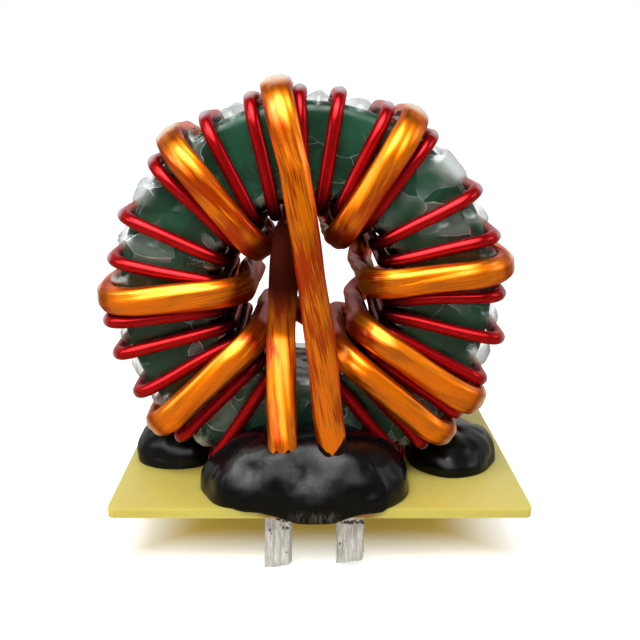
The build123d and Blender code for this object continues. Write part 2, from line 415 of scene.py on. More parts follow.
# Red winding
# One copper wire, 1.6 mm thick with deep red enamel, wound 22 turns through the ring by
# hand, one layer. Both its ends go down through the board behind the ring.
# Each turn's clock angles at the rim and in the bore, seen from the front
red_turns = [
    (208.5, 202.0), (220.5, 213.0), (238.5, 235.5), (251.5, 247.0), (261.5, 258.0),
    (279.5, 276.0), (292.5, 291.0), (310.5, 304.0), (330.0, 325.0), (344.0, 338.0),
    (358.0, 357.0), (369.5, 369.0), (383.5, 381.0), (398.5, 400.0), (419.0, 415.0),
    (433.5, 427.5), (450.5, 454.0), (463.5, 465.0), (476.5, 475.5), (489.2, 494.0),
    (503.0, 510.0), (511.0, 526.0),
]
red_radius = 0.83 * mm
red_rim, red_bore, red_face = 24.56 * mm, 10.30 * mm, 10.21 * mm
red_bend, red_rim_bend = 2.2 * mm, 3.4 * mm
red_foot_y, red_foot_x = 15 * mm, (-13.42 * mm, 8.8 * mm)
red_last_angle, red_last_radius, red_foot_rise = 163, 20 * mm, 4 * mm
red_wander, red_wander_pace, red_sag = 0.16 * mm, 9 * mm, 0.6 * mm
red_run_step, red_bend_steps, red_columns = 1.2 * mm, 7, 16
red_dark, red_bright = (0.30, 0.002, 0.005), (0.44, 0.006, 0.009)
red_shade, red_sheen = (0.030, 0.001, 0.002), (0.46, 0.42, 0.43)
# A turn hangs looser where the cosine of its clock angle is under this
hanging = -0.1
# Heights between which a wire gets free of the board
sway_from, sway_full = 3.6 * mm, 9.6 * mm
bend_share = 0.48


def ring_point(clock_angle, radius, y):
    """A point at a clock angle and a radius from the ring's axis."""
    turn = radians(clock_angle)
    return Vector((ring_x + radius * sin(turn), y, ring_z + radius * cos(turn)))


def way_round(clock_angle):
    """The way round the ring at a clock angle, which a turn's width follows."""
    return Vector((cos(radians(clock_angle)), 0, -sin(radians(clock_angle))))


def add_run(places, wides, end, wide, run_step):
    """Carries a wire straight on to the end; gives its width there, kept from twisting."""
    first_place, first_wide = places[-1], wides[-1]
    run = end - first_place
    wide = wide if wide.dot(first_wide) > 0 else -wide
    steps = max(1, round(run.length / run_step))
    for step in range(1, steps + 1):
        places.append(first_place + run * step / steps)
        wides.append(first_wide.lerp(wide, step / steps).normalized())
    return wide


def wire_stations(route, run_step, bend_steps):
    """Places along a wire, the ways its width and its run point there, its length so far.

    Each entry of the route is a corner, the way its width points, the radius of its bend,
    and whether the width lies across the bend. A bend takes at most its share of each run.
    """
    places, wides = [route[0][0]], [route[0][1]]
    for (before, *_), (corner, hint, radius, across), (after, *_) in zip(
        route, route[1:], route[2:]
    ):
        coming, leaving = (corner - before).normalized(), (after - corner).normalized()
        hinge = coming.cross(leaving).normalized()
        angle = coming.angle(leaving)
        room = min((corner - before).length, (after - corner).length) * bend_share
        radius = min(radius, room / tan(angle / 2))
        start = corner - coming * radius * tan(angle / 2)
        centre = start + hinge.cross(coming) * radius
        wide = hinge if across else (hint - coming * hint.dot(coming)).normalized()
        wide = add_run(places, wides, start, wide, run_step)
        for step in range(1, bend_steps + 1):
            swing = Matrix.Rotation(angle * step / bend_steps, 3, hinge)
            places.append(centre + swing @ (start - centre))
            wides.append(swing @ wide)
    add_run(places, wides, route[-1][0], route[-1][1], run_step)
    places, wides = np.array(places), np.array(wides)
    ways = np.gradient(places, axis=0)
    ways /= np.linalg.norm(ways, axis=1)[:, None]
    wides -= ways * (wides * ways).sum(1)[:, None]
    wides /= np.linalg.norm(wides, axis=1)[:, None]
    along = np.concatenate([[0], np.cumsum(np.linalg.norm(np.diff(places, axis=0), axis=1))])
    return places, wides, ways, along


def wander(along, pace, seed):
    """A slow wandering between about -1 and 1 along a wire."""
    return np.array([noise.noise(Vector((a / pace, seed, 0.37))) * 1.6 for a in along])


def sway(stations, pace, reach, seed):
    """Lets a wire wander along its width, except near the board that holds it."""
    places, wides, _, along = stations
    free = np.clip((places[:, 2:3] - sway_from) / (sway_full - sway_from), 0, 1)
    places += wides * free * (wander(along, pace, seed) * reach)[:, None]


def tube_faces(rows, columns, flipped=False):
    """Faces of a closed tube, with a cap at each end, or the same faces turned round."""
    faces = closed_grid_faces(rows, columns, False)
    faces.append(tuple(reversed(range(columns))))
    faces.append(tuple(range((rows - 1) * columns, rows * columns)))
    return [face[::-1] for face in faces] if flipped else faces


def add_wire(name, stations, section_wide, section_thick, material, slot, *nodes):
    """A closed tube through the stations; the sections' offsets are metres."""
    places, wides, ways, along = stations
    thicks = np.cross(ways, wides)
    rows, columns = section_wide.shape
    points = (
        places[:, None]
        + wides[:, None] * section_wide[:, :, None]
        + thicks[:, None] * section_thick[:, :, None]
    ).reshape(-1, 3)
    corner_uvs = [
        (u / columns, along[row])
        for r in range(rows - 1) for c in range(columns)
        for u, row in ((c, r), (c + 1, r), (c + 1, r + 1), (c, r + 1))
    ]
    corner_uvs += [(0.5, along[0])] * columns + [(0.5, along[-1])] * columns
    piece = add_piece(name, points, tube_faces(rows, columns), material, slot, *nodes)
    layer = piece.data.uv_layers.new(name="along_wire")
    layer.data.foreach_set("uv", np.array(corner_uvs, np.float32).ravel())
    return piece


red_route = [(Vector((red_foot_x[0], red_foot_y, 0)), Vector((1, 0, 0)), 0, False)]


def add_red_corner(clock_angle, radius, y):
    """One square corner of a red turn; low on the rim the wire hangs a little looser."""
    bend = red_rim_bend if radius == red_rim else red_bend
    if radius == red_rim and cos(radians(clock_angle)) < hanging:
        radius, bend = radius + red_sag, red_bend
    red_route.append((ring_point(clock_angle, radius, y), way_round(clock_angle), bend, True))


add_red_corner(red_turns[0][0], red_rim, red_foot_y)
for turn, (rim_angle, bore_angle) in enumerate(red_turns):
    if turn > 0:
        add_red_corner(rim_angle, red_rim, red_face)
    add_red_corner(rim_angle, red_rim, -red_face)
    add_red_corner(bore_angle, red_bore, -red_face)
    add_red_corner(bore_angle, red_bore, red_face)
add_red_corner(red_last_angle, red_last_radius, red_face)
red_foot = Vector((red_foot_x[1], red_foot_y, 0))
red_route.append((red_foot + Vector((0, 0, red_foot_rise)), Vector((1, 0, 0)), red_bend, False))
red_route.append((red_foot, Vector((1, 0, 0)), 0, False))

red_stations = wire_stations(red_route, red_run_step, red_bend_steps)
sway(red_stations, red_wander_pace, red_wander, 1.0)
red_places = red_stations[0]
red_turn = np.linspace(0, 2 * pi, red_columns, endpoint=False)
red_round = np.ones((len(red_places), 1)) * red_radius


def smooth_step(values, low, high):
    """Rises smoothly from 0 at the low value to 1 at the high one."""
    share = np.clip((values - low) / (high - low), 0, 1)
    return share * share * (3 - 2 * share)


def mark(piece, name, values):
    """Keeps a number at each point of a piece, which its material can read."""
    layer = piece.data.attributes.new(name, "FLOAT", "POINT")
    layer.data.foreach_set("value", values.astype(np.float32))


def ring_places(piece):
    """Each point's distance from the ring's axis, then its x, y and z from the middle."""
    points = np.array([tuple(v.co) for v in piece.data.vertices]) - (ring_x, 0, ring_z)
    return np.hypot(points[:, 0], points[:, 2]), *points.T


enamel = new_finish("red_enamel")
enamel_uv = enamel.node("ShaderNodeUVMap", {"uv_map": "along_wire"})
enamel_cloud = enamel.grain(enamel.stretched(enamel_uv, (3, 160, 1)), 1.0, 3)
enamel_painted_sheen = enamel.marked("painted_sheen")
enamel_painted_shade = enamel.marked("painted_shade")
enamel_colour = enamel.mix(enamel_cloud, red_dark, red_bright)
# Painted shade in the bore darkens the enamel, and a painted sheen pales the front rim tops
enamel_colour = enamel.mix(enamel_painted_shade, enamel_colour, red_shade)
red_enamel = enamel.skin(
    Base_Color=enamel.mix(enamel_painted_sheen, enamel_colour, red_sheen),
    Metallic=0.62 * (1 - enamel_painted_sheen),
    Roughness=0.22 + 0.10 * enamel_cloud + 0.2 * enamel_painted_sheen,
    Normal=enamel.relief(enamel.grain(enamel.place(), 700, 3), 0.02 * mm),
    Coat_Weight=0.12 * (1 - enamel_painted_shade),
    Coat_Roughness=0.15,
    Specular_IOR_Level=0.18,
    Specular_Tint=(0.75, 0.10, 0.10, 1.0),
)
red_wire = add_wire(
    "red_wire", red_stations, red_round * np.cos(red_turn), red_round * np.sin(red_turn),
    red_enamel, "red_enamel", "red_winding",
)
# Painted sheen on the tops of the front bends at the rim, and painted shade in the bore
red_radii, _, red_depths, red_heights = ring_places(red_wire)
red_low = smooth_step(-red_heights / red_radii, 0.05, 0.15)
red_painted_sheen = smooth_step(red_radii - red_low * red_sag, 24.5 * mm, 25.1 * mm)
red_painted_sheen *= 1 - smooth_step(red_depths, -7.5 * mm, -4.5 * mm)
mark(red_wire, "painted_sheen", red_painted_sheen * 0.95)
mark(red_wire, "painted_shade", 1 - smooth_step(red_radii, 10.5 * mm, 15.0 * mm))


# Litz winding
# A flat bundle of fine enamelled copper strands inside a tight clear film, laid over
# the red wire in eight passes. Both its leads come down the front to the board.
# Each turn's clock angles at the rim and in the bore, seen from the front
litz_turns = [
    (318.5, 314.0), (268.5, 274.0), (228.0, 229.0), (135.5, 152.0),
    (123.0, 121.0), (82.5, 80.0), (31.5, 28.0),
]
litz_first_bore_angle, litz_last_rim_angle, crossing_turn = 343.0, 351.5, 3
litz_width, litz_thickness = 3.6 * mm, 2.5 * mm
litz_rim, litz_bore, litz_face = 25.27 * mm, 7.66 * mm, 12.41 * mm
litz_crossing_face, litz_lead_face = 15.01 * mm, 15.11 * mm
litz_bend, litz_rim_bend, lead_bend = 4.8 * mm, 5.8 * mm, 6.0 * mm
litz_sag, litz_low_bend = 0.4 * mm, 3.84 * mm
litz_wander, litz_wander_pace = 0.22 * mm, 12 * mm
litz_run_step, litz_bend_steps, litz_columns = 0.6 * mm, 9, 56
litz_squareness, litz_ropes, litz_lay = 2.35, 7, 120 * mm
rope_depth, litz_swelling, litz_swelling_pace = 0.10 * mm, 0.05, 7 * mm
pin_y, pin_left_x, pin_right_x = -18 * mm, -5.1 * mm, 3.7 * mm
lead_rise = 2.4 * mm
left_lead_low = Vector((-4.5, -17.3, 8.5)) * mm
left_lead_high = Vector((-4.9, -13.0, 21.0)) * mm
right_lead_knee = Vector((-3.0, -16.1, 41.0)) * mm
right_lead_low = Vector((1.9, -17.5, 6.0)) * mm
# The silicone's torn edge on each lead: places across it from -1 to 1, and heights in mm
left_lead_tears = (-1, -0.7, -0.4, 0, 0.4, 0.7, 1), (7.0, 6.9, 8.1, 7.5, 8.2, 7.4, 7.2)
right_lead_tears = (-1, -0.1, 1), (8.9, 7.4, 9.8)
copper_red, copper_orange = (0.50, 0.046, 0.001), (0.90, 0.20, 0.002)
copper_gold, litz_shade = (1.0, 0.43, 0.014), (0.018, 0.001, 0.001)
litz_sheen, litz_smeared = (0.70, 0.63, 0.50), (0.004, 0.004, 0.004)
across = Vector((1, 0, 0))
litz_route = [
    (Vector((pin_left_x, pin_y, 0)), across, 0, False),
    (Vector((pin_left_x, pin_y, lead_rise)), across, lead_bend, False),
    (left_lead_low, across, lead_bend, False),
    (left_lead_high, across, lead_bend, False),
]


def add_litz_corner(clock_angle, radius, y):
    """One square corner of a litz turn; low on the rim it hangs a little looser."""
    bend = litz_rim_bend if radius == litz_rim else litz_bend
    if radius == litz_rim and cos(radians(clock_angle)) < hanging:
        radius, bend = radius + litz_sag, litz_low_bend
    litz_route.append((ring_point(clock_angle, radius, y), way_round(clock_angle), bend, True))


add_litz_corner(litz_first_bore_angle, litz_bore, -litz_face)
last_bore_angle = litz_first_bore_angle
for turn, (rim_angle, bore_angle) in enumerate(litz_turns):
    rear_face = litz_crossing_face if turn == crossing_turn else litz_face
    add_litz_corner(last_bore_angle, litz_bore, rear_face)
    add_litz_corner(rim_angle, litz_rim, rear_face)
    add_litz_corner(rim_angle, litz_rim, -litz_face)
    add_litz_corner(bore_angle, litz_bore, -litz_face)
    last_bore_angle = bore_angle
add_litz_corner(last_bore_angle, litz_bore, litz_face)
add_litz_corner(litz_last_rim_angle, litz_rim, litz_face)
add_litz_corner(litz_last_rim_angle, litz_rim, -litz_lead_face)
litz_route += [
    (right_lead_knee, across, lead_bend, False),
    (right_lead_low, across, lead_bend, False),
    (Vector((pin_right_x, pin_y, lead_rise)), across, lead_bend, False),
    (Vector((pin_right_x, pin_y, 0)), across, 0, False),
]
litz_stations = wire_stations(litz_route, litz_run_step, litz_bend_steps)
sway(litz_stations, litz_wander_pace, litz_wander, 5.0)
litz_places, litz_wides, _, litz_along = litz_stations

litz_turn = np.linspace(0, 2 * pi, litz_columns, endpoint=False)[None, :]
litz_reach = (
    np.abs(np.cos(litz_turn)) ** litz_squareness + np.abs(np.sin(litz_turn)) ** litz_squareness
) ** (-1 / litz_squareness)
litz_twist = litz_ropes * (litz_turn + 2 * pi * litz_along[:, None] / litz_lay)
litz_ridge = (np.abs(np.cos(litz_twist / 2)) - 1) * rope_depth
litz_swell = 1 + litz_swelling * wander(litz_along, litz_swelling_pace, 8.0)[:, None]
litz_wide = (litz_width / 2 + litz_ridge) * litz_reach * np.cos(litz_turn) * litz_swell
litz_thick = (litz_thickness / 2 + litz_ridge) * litz_reach * np.sin(litz_turn)

strands = new_finish("litz_strands")
strand_uv = strands.node("ShaderNodeUVMap", {"uv_map": "along_wire"})
strand_u, strand_v, _ = strands.split(strand_uv)
strand_around = strand_u + strand_v * (1 / litz_lay)
strand_place = strands.node("ShaderNodeCombineXYZ", inputs={0: strand_around, 1: strand_v})
strand_fine = strands.grain(strands.stretched(strand_place, (75, 160, 1)), 1.0, 2, 0.6)
strand_broad = strands.grain(strands.stretched(strand_place, (6, 110, 1)), 1.0, 3)
strand_painted_sheen = strands.marked("painted_sheen")
strand_painted_shade = strands.marked("painted_shade")
strand_painted_light = strands.marked("painted_light")
strand_tint = strands.between(strand_fine * 0.38 + strand_broad * 0.62, 0.41, 0.60)
strand_tint = (strand_tint * 0.85 + strand_painted_light * 0.35).at_most(1.0).at_least(0.0)
strand_colour = strands.node(
    "ShaderNodeValToRGB",
    {"stops": [(0.0, copper_red), (1.0, copper_gold), (0.5, copper_orange)]},
    {"Fac": strand_tint},
)
# Painted shade darkens the strands, then a painted sheen pales them
strand_colour = strands.mix(strand_painted_shade, strand_colour, litz_shade)
strand_colour = strands.mix(strand_painted_sheen, strand_colour, litz_sheen)
strand_black = strands.between(strands.marked("smear"), 0.40, 0.60)
strand_dull = strands.between(strand_painted_shade, 0.4, 1.0)
litz_gold = strands.skin(
    Base_Color=strands.mix(strand_black, strand_colour, litz_smeared),
    Metallic=0.88 * (1 - strand_painted_sheen) * (1 - strand_black) * (1 - strand_dull),
    Roughness=0.28 + 0.12 * strand_broad + 0.40 * strand_dull,
    Normal=strands.relief(strand_fine, 0.035 * mm, 0.8),
    Coat_Weight=0.35 * (1 - strand_painted_shade) * (1 - strand_black),
    Coat_Roughness=0.12,
    Specular_IOR_Level=0.2,
    Specular_Tint=(0.80, 0.22, 0.05, 1.0),
)
litz_bundle = add_wire(
    "litz_bundle", litz_stations, litz_wide, litz_thick, litz_gold, "litz", "litz_winding",
)
litz_radii, litz_sides, litz_depths, litz_heights = ring_places(litz_bundle)
litz_heights += ring_z
litz_row = np.repeat(np.arange(len(litz_along)), litz_columns)
lead_back = -8 * mm
left_lead = litz_row < np.argmax(litz_places[:, 1] > lead_back)
right_lead = litz_row > len(litz_places) - np.argmax(litz_places[::-1, 1] > lead_back)

# Painted sheen on the tops of the front bends at the rim
litz_front = 1 - smooth_step(litz_depths, -7.5 * mm, -3.5 * mm)
litz_painted_sheen = smooth_step(litz_radii, 25.4 * mm, 26.1 * mm) * litz_front
mark(litz_bundle, "painted_sheen", litz_painted_sheen * 0.9)

# Painted shade: a band under each pale top, the bore, and the upper part of the left lead
litz_shade_band = smooth_step(litz_radii, 24.0 * mm, 25.0 * mm)
litz_shade_band *= (1 - smooth_step(litz_radii, 25.3 * mm, 25.8 * mm)) * 0.55
litz_bore_shade = (1 - smooth_step(litz_radii, 7.0 * mm, 11.0 * mm)) * 0.6
litz_painted_shade = np.where(right_lead, litz_shade_band, np.maximum(litz_shade_band, litz_bore_shade))
litz_painted_shade = np.where(left_lead, smooth_step(litz_heights, 18 * mm, 27 * mm), litz_painted_shade)
litz_painted_shade = np.where(litz_radii > 20 * mm, litz_painted_shade * litz_front, litz_painted_shade)
mark(litz_bundle, "painted_shade", litz_painted_shade)

# Painted light: below 0 painted shade makes strands redder, above 0 painted highlights yellower
# The upper turns and the bore ends get painted shade, and each lead a painted highlight
litz_upper_shade = smooth_step(litz_heights, 27 * mm, 36 * mm)
litz_upper_shade *= 1 - 0.6 * smooth_step(litz_sides, 0, 4 * mm)
turn_painted_light = 0.7 - litz_upper_shade * (1.5 - 1.1 * smooth_step(litz_radii, 18 * mm, 21 * mm))
turn_painted_light -= 1.7 * (1 - smooth_step(litz_radii, 8.0 * mm, 10.5 * mm))
left_painted_light = 0.3 - 0.9 * smooth_step(np.abs(litz_heights - 14 * mm), 2 * mm, 6 * mm)
right_painted_light = -0.1 - 0.8 * smooth_step(litz_heights, 14 * mm, 22 * mm)
right_painted_light += 1.2 * smooth_step(litz_heights, 38 * mm, 44 * mm)
turn_painted_light = np.where(left_lead, left_painted_light, turn_painted_light)
mark(litz_bundle, "painted_light", np.where(right_lead, right_painted_light, turn_painted_light))

# Black silicone smeared up the feet of the leads
litz_across = np.tile(np.cos(litz_turn[0]), len(litz_along)) * np.sign(litz_wides[litz_row, 0])
left_tear = np.interp(litz_across, *left_lead_tears) * mm
right_tear = np.interp(litz_across, *right_lead_tears) * mm
litz_tear = np.where(left_lead, left_tear, right_tear)
litz_smear = smooth_step(litz_tear - litz_heights, -0.5 * mm, 0.5 * mm)
mark(litz_bundle, "smear", litz_smear * (left_lead | right_lead))


# Film over the core
# Thin clear polyester tape wound round the coated ring under both windings. It lies tight
# under the wires, bulges and crinkles between them, and its creases carry painted glints.
film_steps, film_run_steps, film_edge_steps = 560, 20, 6
film_gap, film_lift, film_highest = 0.05 * mm, 0.06 * mm, 1.7 * mm
film_clearance, film_loosest, film_share = 0.25 * mm, 1.15 * mm, 0.75
rim_reach, bore_reach, bore_looseness = 2 * mm, 1.5 * mm, 0.6
# Bulges, and two kinds of folds with their size and height
puff_size, broad_folds, fine_folds = 5 * mm, (3.8 * mm, 0.10 * mm), (1.7 * mm, 0.02 * mm)
film_clear, film_patched = (0.10, 0.20, 0.15), (0.36, 0.46, 0.41)
film_glint_and_haze_white, film_in_shade = (0.50, 0.53, 0.52), (0.003, 0.002, 0.002)
film_profile = ring_profile(
    core_bore_radius - film_gap, core_radius + film_gap, core_half_height + film_gap,
    core_edge, film_run_steps, film_edge_steps,
)
film_points, film_ways = ring_grid(film_profile, film_steps)
film_points, film_ways = film_points.reshape(-1, 3), film_ways.reshape(-1, 3)
wires_near = kdtree.KDTree(len(red_places) + len(litz_places))
for index, place in enumerate((*red_places, *litz_places)):
    wires_near.insert(place, index)
wires_near.balance()


def crease(place, size, seed):
    """Sharp-ridged folds, 1 along a fold and 0 far from one."""
    sharpness = 3.2
    return 1 - min(1, abs(noise.noise(place / size + Vector((seed, seed, seed)))) * sharpness)


# The film lies tight near a wire, and stands off most at the rim and in the bore
film_out = []
for place in film_points:
    spot = Vector(place)
    _, index, distance = wires_near.find(spot)
    wire_half = red_radius if index < len(red_places) else litz_thickness / 2
    room = max(0.0, distance - wire_half - film_clearance)
    spot_radius = Vector((spot.x - ring_x, 0, spot.z - ring_z)).length
    at_rim = min(1, max(0.0, spot_radius - core_radius + rim_reach) / rim_reach)
    in_bore = 1 - min(1, max(0, spot_radius - core_bore_radius) / bore_reach)
    loose = min(room * film_share, film_loosest)
    loose *= 0.25 + 0.75 * max(at_rim, in_bore * bore_looseness)
    puff = 0.80 + 0.5 * noise.noise(spot / puff_size)
    folds = crease(spot, broad_folds[0], 2) * broad_folds[1]
    folds += crease(spot, fine_folds[0], 7) * fine_folds[1]
    lift = loose * max(0.15, puff) + folds * min(1, room / (0.5 * mm)) + film_lift
    film_out.append(min(lift, film_highest))
film_points = film_points + film_ways * np.array(film_out)[:, None]

film = new_finish("clear_film")
film_place = film.place()
film_loose_and_sheen = film.between(film.marked("looseness_and_sheen"), 0.30, 1.05)
film_bore = film.marked("in_bore")
film_crumpled = film.warped(film_place, 160, 4 * mm)
film_tilt = film.cells(film_crumpled, 230) * 0.8 + film.cells(film_crumpled, 700) * 0.2
film_sheet = film.split(film.cells(film_crumpled, 230, output="Color"))[0]
film_edge = film.cells(film_crumpled, 230, "DISTANCE_TO_EDGE")
film_cloud = film.grain(film_place, 130, 2)
# Painted glints: the creases are drawn as white, more opaque lines
film_crease_glint = (1 - film.between(film_edge, 0.0, 0.014)) * film.between(film_cloud, 0.43, 0.57)
film_patch = film.between(film_sheet, 0.55, 0.60) * film.between(film_cloud, 0.40, 0.55)
film_open = 1 - film_bore
# Loose film is paler: partly its own haze, partly a painted sheen that is stronger at the front
film_glint_and_haze_share = (film_crease_glint * 0.9 + film_loose_and_sheen * 0.8) * film_open
film_tint = film.mix(film_patch, film_clear, film_patched)
film_tint = film.mix(film_glint_and_haze_share.at_most(1.0), film_tint, film_glint_and_haze_white)
film_alpha = 0.08 + 0.26 * film_patch + 0.75 * film_crease_glint + 0.75 * film_loose_and_sheen
film_skin = film.skin(
    Base_Color=film.mix(film_bore, film_tint, film_in_shade),
    Roughness=0.06 + 0.12 * film_patch + 0.50 * film_loose_and_sheen + 0.12 * film_bore,
    Alpha=(film_alpha * film_open + film_bore).at_most(1.0),
    Normal=film.relief(film_tilt * (1 - film_loose_and_sheen * 0.6), 0.5 * mm, 0.8),
    IOR=1.6,
    Specular_IOR_Level=1.0,
)
film_faces = closed_grid_faces(film_steps, len(film_profile), True)
film_wrap = add_piece(
    "film_wrap", film_points, film_faces, film_skin, "clear_film", "core_film",
)
film_radii, _, film_depths, film_heights = ring_places(film_wrap)
# Painted sheen: the looseness mark is weaker at the back, so loose film is paler at the front
film_front = 1 - smooth_step(film_depths, -8.5 * mm, -5.0 * mm)
film_slack = np.clip(np.array(film_out) / (1.2 * mm), 0, 1)
mark(film_wrap, "looseness_and_sheen", film_slack * (0.45 + 0.55 * film_front))
# Painted shade in the bore: the film there is drawn opaque and nearly black, less so at its bottom
film_shade = 1 - smooth_step(film_radii, 12.0 * mm, 13.6 * mm)
film_shade *= 1 - 0.75 * smooth_step(-film_heights / film_radii, 0.75, 0.92)
mark(film_wrap, "in_bore", film_shade)


# Board
# A sheet of yellow fibreglass, 51 by 40 mm and 1.2 mm thick, sawn to size with its edges
# left bare, drilled for the red wire and slotted for the litz.
board_low, board_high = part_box("board")
board_top = board_high.z
board_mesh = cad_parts["board"].data.copy()
board_edge, weave_pitch = 0.22 * mm, 0.55 * mm
board_dark, board_light = (0.55, 0.475, 0.070), (0.68, 0.61, 0.165)
board_stained = (0.26, 0.055, 0.014)
# Brown stains on the front edge, in mm
stain_places = ((-5.4, -20.2, 0.4), (5.0, -20.2, 0.4))
glass = new_finish("fibreglass")
glass_place = glass.place()
glass_x, glass_y, _ = glass.split(glass_place)
weave_turn = 2 * pi / weave_pitch
glass_warp = glass_x.maths("SINE", glass_x * weave_turn)
glass_weft = glass_y.maths("SINE", glass_y * weave_turn)
glass_cloud = glass.grain(glass_place, 75, 4)
glass_speck = glass.grain(glass_place, 2600, 2)
glass_face = glass.mix(glass_cloud, board_dark, board_light)
glass_stain = 0.0
for x, y, z in stain_places:
    stain_middle = Vector((x / 2, y, z)) * mm
    stain_near = glass.distance(glass.stretched(glass_place, (0.5, 1, 1)), stain_middle)
    glass_stain = (1 - glass.between(stain_near, 0.4 * mm, 1.3 * mm)) + glass_stain
board_finish = glass.skin(
    Base_Color=glass.mix((glass_stain * 0.8).at_most(0.8), glass_face, board_stained),
    Roughness=0.42 + 0.12 * glass_speck,
    Normal=glass.relief(glass_warp * glass_weft * 0.25 + glass_speck * 0.4, 0.012 * mm),
    Subsurface_Weight=0.6,
    Subsurface_Radius=(3.0 * mm, 2.2 * mm, 0.5 * mm),
    Subsurface_Scale=1.0,
    Coat_Weight=0.15,
    Coat_Roughness=0.25,
)
board_mesh.materials.clear()
board_mesh.materials.append(board_finish)
board = bpy.data.objects.new("board_sheet", board_mesh)
bpy.context.scene.collection.objects.link(board)
weld = board.modifiers.new("weld", "WELD")
weld.merge_threshold = 0.001 * mm
bevel = board.modifiers.new("edge", "BEVEL")
bevel.width = board_edge
bevel.segments = 2
bevel.angle_limit = radians(60)
bevel.harden_normals = True
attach(board, "root")
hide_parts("board")


# Silicone
# Black silicone poured in four mounds round the foot of the ring and the four leads. It
# sags over the board's front edge, with lint at the drip, and has two dimples there,
# each ringed with grey that is partly dust and partly a painted sheen.
# Each mound's CAD node, height in mm, boxiness, lumps in mm and outline in mm
mounds = [
    ("silicone_front", "adhesive_front", 8.0, 2.3, 0.45, [
        (-14.8, -12.0), (-13.9, -16.4), (-11.8, -19.4), (-7.1, -20.6), (-0.2, -20.9),
        (6.5, -20.7), (9.6, -18.3), (11.1, -14.8), (10.7, -10.6), (6.3, -6.0), (-1.7, -4.6),
        (-10.0, -6.2),
    ]),
    ("silicone_left", "adhesive_left", 4.7, 2.8, 0.4, [
        (-24.6, -2.6), (-23.6, -5.6), (-20.8, -7.4), (-17.4, -7.4), (-14.9, -5.6),
        (-13.8, -1.0), (-14.5, 4.2), (-17.8, 7.4), (-21.8, 6.9), (-24.2, 3.2),
    ]),
    ("silicone_right", "adhesive_right", 4.9, 2.2, 0.9, [
        (12.0, -4.2), (13.3, -8.2), (16.8, -10.6), (20.7, -9.4), (23.0, -6.2), (24.2, -2.6),
        (23.2, 3.0), (20.0, 6.8), (15.4, 6.4), (12.4, 2.0),
    ]),
    ("silicone_rear", "adhesive_rear", 5.6, 3.0, 0.5, [
        (-15.8, 12.6), (-14.6, 16.6), (-9.8, 17.9), (-2.2, 17.2), (5.4, 18.0), (11.0, 16.9),
        (12.4, 12.4), (9.4, 7.6), (-0.2, 5.4), (-10.6, 6.6),
    ]),
]
mound_columns, mound_rows = 220, 46
dimples = [
    (Vector((-8.6, -19.4, 6.4)) * mm, 1.9 * mm),
    (Vector((-1.1, -19.6, 5.9)) * mm, 2.2 * mm),
]
dimple_depth, broad_lumps, fine_lumps = 0.7 * mm, 4.5 * mm, 1.6 * mm
drip_x, drip_half_width, drip_drop = -0.7 * mm, 4.0 * mm, 1.35 * mm
silicone_colour, dust_and_sheen_colour = (0.0018, 0.0018, 0.0020), (0.19, 0.19, 0.20)
lint_colour = (0.24, 0.21, 0.15)


def smooth_loop(outline, count):
    """A smooth closed line through the outline's points, in metres."""
    corners = np.array(outline) * mm
    share = np.linspace(0, len(corners), count, endpoint=False)
    index = share.astype(int)
    t = (share - index)[:, None]
    p0, p1, p2, p3 = (corners[(index + k) % len(corners)] for k in (-1, 0, 1, 2))
    return 0.5 * (
        2 * p1 + (p2 - p0) * t + (2 * p0 - 5 * p1 + 4 * p2 - p3) * t ** 2
        + (3 * p1 - p0 - 3 * p2 + p3) * t ** 3
    )


def grid_normals(points):
    """The way out of a grid of points whose columns close on themselves."""
    down = np.gradient(points, axis=0)
    side = (np.roll(points, -1, axis=1) - np.roll(points, 1, axis=1)) / 2
    normals = np.cross(side, down)
    return normals / np.maximum(np.linalg.norm(normals, axis=2), 1e-12)[:, :, None]


rubber = new_finish("black_silicone")
rubber_place = rubber.place()
rubber_cloud = rubber.grain(rubber_place, 230, 2)
rubber_fine = rubber.grain(rubber_place, 5200, 3, 0.7)
rubber_dust_and_sheen = 0.0
for dimple_place, dimple_reach in dimples:
    dimple_near = rubber.distance(rubber_place, dimple_place)
    dimple_rim = rubber.between(dimple_near, 0.25 * dimple_reach, 0.90 * dimple_reach)
    dimple_outside = rubber.between(dimple_near, 0.7 * dimple_reach, 2.0 * dimple_reach)
    rubber_dust_and_sheen = dimple_rim * (1 - dimple_outside) + rubber_dust_and_sheen
rubber_haze = rubber.between(rubber.grain(rubber_place, 900, 4, 0.65), 0.25, 0.75)
rubber_speckle = rubber.between(rubber_fine, 0.50, 0.66) * rubber.between(rubber_cloud, 0.46, 0.66)
rubber_x, rubber_y, rubber_z = rubber.split(rubber_place)
rubber_low = 1 - rubber.between(rubber_z, 0.5 * mm, 1.5 * mm)
rubber_low = rubber_low * (1 - rubber.between(abs(rubber_x - drip_x), 2.0 * mm, 3.6 * mm))
rubber_low = rubber_low * (1 - rubber.between(rubber_y, -20.9 * mm, -20.2 * mm))
rubber_hair = rubber.grain(rubber.stretched(rubber_place, (1, 1, 0.3)), 1500, 5, 0.8, 1.5)
rubber_lint = rubber_low * rubber.between(rubber_hair, 0.42, 0.72)
# The grey round the dimples is partly dust and partly a painted sheen
rubber_dust_and_sheen = (rubber_dust_and_sheen * (rubber_haze * 0.30 + 0.06) + rubber_speckle * 0.03).at_most(1.0)
rubber_colour = rubber.mix(rubber_dust_and_sheen, silicone_colour, dust_and_sheen_colour)
silicone_black = rubber.skin(
    Base_Color=rubber.mix(rubber_lint * 0.4, rubber_colour, lint_colour),
    Roughness=0.22 + 0.30 * rubber_dust_and_sheen + 0.10 * rubber_cloud + 0.3 * rubber_lint,
    Normal=rubber.relief(rubber_cloud, 0.04 * mm, 0.6),
    Specular_IOR_Level=0.13,
)


